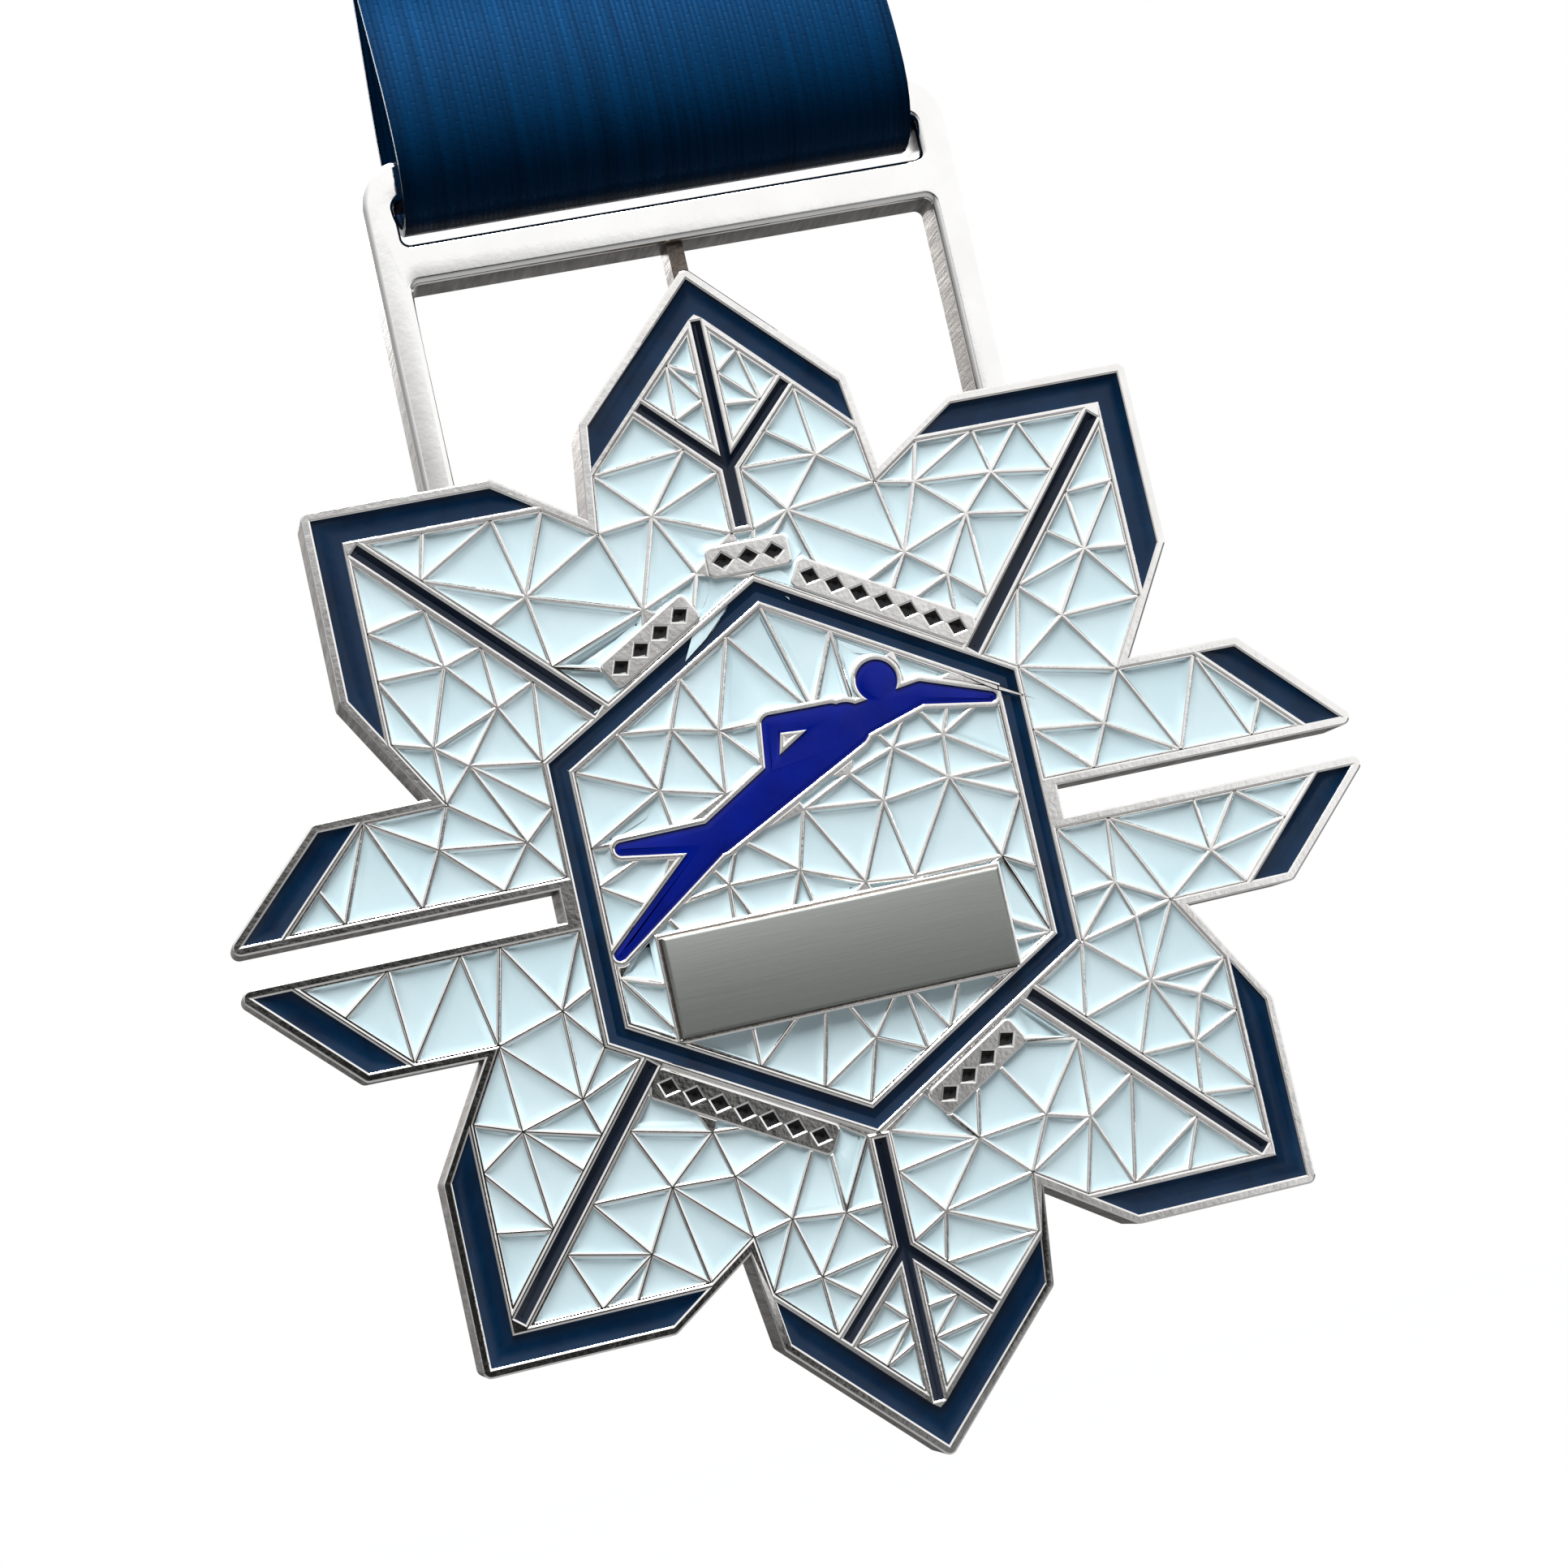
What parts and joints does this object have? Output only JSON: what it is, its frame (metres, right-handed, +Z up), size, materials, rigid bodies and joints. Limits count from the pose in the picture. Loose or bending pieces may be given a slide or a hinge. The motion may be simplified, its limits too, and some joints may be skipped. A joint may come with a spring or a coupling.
{
  "type": "medal",
  "caption": "Enamelled eight-armed snowflake medal in a flat hanger frame, swinging on a folded satin neck ribbon.",
  "frame": {"origin": "point at the top of the folded ribbon, on its middle line, by which the medal is held", "axes": "+X to the viewer's right, +Z up, the enamelled face towards -Y"},
  "size_m": [0.0834, 0.0126, 0.1773],
  "materials": {
    "nickel_plate": "bright plated",
    "satin_nickel": "satin plated",
    "navy_enamel": "gloss soft enamel",
    "ink_enamel": "gloss soft enamel",
    "black_enamel": "gloss soft enamel",
    "pale_enamel": "gloss soft enamel",
    "royal_enamel": "gloss soft enamel",
    "satin_ribbon": "satin weave",
    "elastic_band": "matte",
    "thread": "twisted thread"
  },
  "bodies": {
    "ribbon": {"ribbon_loop": "satin_ribbon", "ribbon_hank": "satin_ribbon", "hank_band": "elastic_band", "seam_stitches": "thread"},
    "medal": {"enamel_hexagon_ring": "navy_enamel", "enamel_marks_lower_left": "black_enamel", "enamel_marks_lower_right": "black_enamel", "enamel_marks_top": "black_enamel", "enamel_marks_upper_left": "black_enamel", "enamel_marks_upper_right": "black_enamel", "enamel_navy_bottom": "navy_enamel", "enamel_navy_left_lower": "navy_enamel", "enamel_navy_left_upper": "navy_enamel", "enamel_navy_lower_left": "navy_enamel", "enamel_navy_lower_right": "navy_enamel", "enamel_navy_right_lower": "navy_enamel", "enamel_navy_right_upper": "navy_enamel", "enamel_navy_top": "navy_enamel", "enamel_navy_upper_left": "navy_enamel", "enamel_navy_upper_right": "navy_enamel", "enamel_pale_bottom_fork_left": "pale_enamel", "enamel_pale_bottom_fork_right": "pale_enamel", "enamel_pale_centre": "pale_enamel", "enamel_pale_crown": "pale_enamel", "enamel_pale_foot_left": "pale_enamel", "enamel_pale_foot_right": "pale_enamel", "enamel_pale_left_lower": "pale_enamel", "enamel_pale_left_upper": "pale_enamel", "enamel_pale_right_lower": "pale_enamel", "enamel_pale_right_upper": "pale_enamel", "enamel_pale_top_fork_left": "pale_enamel", "enamel_pale_top_fork_right": "pale_enamel", "enamel_swimmer": "royal_enamel", "enamel_vein_bottom": "ink_enamel", "enamel_vein_lower_left": "ink_enamel", "enamel_vein_lower_right": "ink_enamel", "enamel_vein_top": "ink_enamel", "enamel_vein_upper_left": "ink_enamel", "enamel_vein_upper_right": "ink_enamel", "hanger_frame": "nickel_plate", "name_plate": "satin_nickel", "snowflake_plate": "nickel_plate"}
  },
  "joints": [
    {"name": "medal_swing", "type": "hinge", "parent": "ribbon", "child": "medal", "pos_m": [0, 0, -0.0803], "axis": [1, 0, 0], "range_deg": [-80, 80]}
  ]
}
